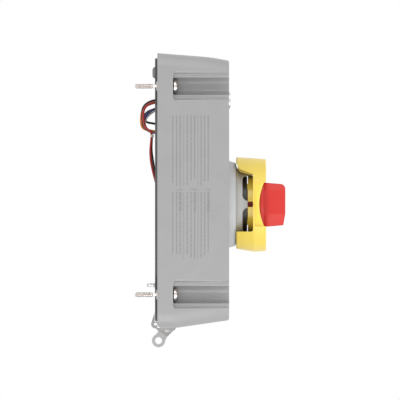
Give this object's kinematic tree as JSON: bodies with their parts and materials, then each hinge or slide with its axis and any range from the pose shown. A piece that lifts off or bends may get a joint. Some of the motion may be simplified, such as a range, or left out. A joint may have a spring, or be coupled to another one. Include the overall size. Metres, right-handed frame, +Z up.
{
  "type": "rotary isolator switch",
  "caption": "Deep rectangular cover carrying a padlockable red and yellow rotary handle, a stacked rotary switch, an indicator and its wiring.",
  "frame": {"origin": "centre of the cover's rear rim plane, where it meets the wall box", "axes": "+X to the operator's right, +Y into the wall, +Z up"},
  "size_m": [0.18, 0.1464, 0.2869],
  "materials": {
    "cover_plastic": "fine-textured light grey moulding",
    "hub_plastic": "smooth grey moulding",
    "gasket_rubber": "matt dark grey foam rubber",
    "seal_rubber": "matt black rubber",
    "screw_steel": "bright stainless steel",
    "hasp_metal": "semi-matt grey",
    "black_plastic": "satin black moulding",
    "yellow_plastic": "semi-gloss yellow moulding",
    "red_plastic": "semi-gloss red moulding",
    "bezel_metal": "bright plated ring",
    "lens_plastic": "clear-white diffusing lens",
    "shaft_steel": "ground steel",
    "zinc_steel": "zinc-plated steel",
    "deck_plastic": "dark grey thermoset",
    "cam_plastic": "natural white nylon",
    "contact_metal": "bare copper alloy",
    "board_laminate": "green lacquered board",
    "led_plastic": "clear LED body",
    "red_sleeve": "red wire insulation",
    "black_sleeve": "black wire insulation",
    "orange_sleeve": "orange wire insulation",
    "blue_sleeve": "blue wire insulation",
    "white_sleeve": "white wire insulation"
  },
  "bodies": {
    "cover": {"cover_shell": "cover_plastic", "rim_gasket": "gasket_rubber", "cover_screws": "screw_steel", "cover_screw_seals": "seal_rubber", "screw_retainers": "cam_plastic", "padlock_hasp": "hasp_metal", "hasp_screws": "screw_steel", "bonding_stud": "shaft_steel", "bonding_nuts": "zinc_steel", "handle_hub": "hub_plastic", "shaft_insert": "black_plastic", "shaft_seal": "seal_rubber", "escutcheon": "yellow_plastic", "handle_screws": "zinc_steel", "mount_plate": "zinc_steel", "mount_plate_screws": "zinc_steel", "plate_washers": "zinc_steel", "plate_tag": "contact_metal", "index_housing": "deck_plastic", "detent_springs": "shaft_steel", "pole_deck_1": "deck_plastic", "pole_deck_2": "deck_plastic", "pole_deck_3": "deck_plastic", "fixed_contacts": "contact_metal", "terminal_screws": "zinc_steel", "terminal_clamps": "zinc_steel", "wire_ferrules": "contact_metal", "aux_deck": "deck_plastic", "aux_spring": "shaft_steel", "aux_terminal_screws": "zinc_steel", "wire_lugs": "contact_metal", "end_plate": "black_plastic", "tie_bolts": "zinc_steel", "indicator_bezel": "bezel_metal", "indicator_lens": "lens_plastic", "indicator_nut": "black_plastic", "indicator_board": "board_laminate", "board_screws": "zinc_steel", "indicator_leds": "led_plastic", "wire_header": "cam_plastic", "wire_red": "red_sleeve", "wire_black": "black_sleeve", "wire_orange": "orange_sleeve", "wire_blue": "blue_sleeve", "wire_white": "white_sleeve", "wire_earth": "black_sleeve"},
    "rotor": {"knob": "red_plastic", "drive_shaft": "shaft_steel", "shaft_circlip": "shaft_steel", "knob_roll_pin": "shaft_steel", "star_wheel": "cam_plastic", "rotor_drums": "cam_plastic", "moving_contacts": "contact_metal", "aux_cam": "cam_plastic"},
    "aux_plunger": {"aux_plunger": "cam_plastic"}
  },
  "joints": [
    {"name": "handle_turn", "type": "hinge", "parent": "cover", "child": "rotor", "pos_m": [0, -0.09, -0.0135], "axis": [0, -1, 0], "range_deg": [0, 90], "deforming": ["detent_springs"]},
    {"name": "aux_plunger_slide", "type": "slide", "parent": "cover", "child": "aux_plunger", "axis": [1, 0, 0], "range_m": [-0.0024, 0], "deforming": ["aux_spring"]}
  ],
  "couplings": [
    {"joint": "aux_plunger_slide", "follows": "handle_turn", "m_per_rad": -0.0015279}
  ]
}
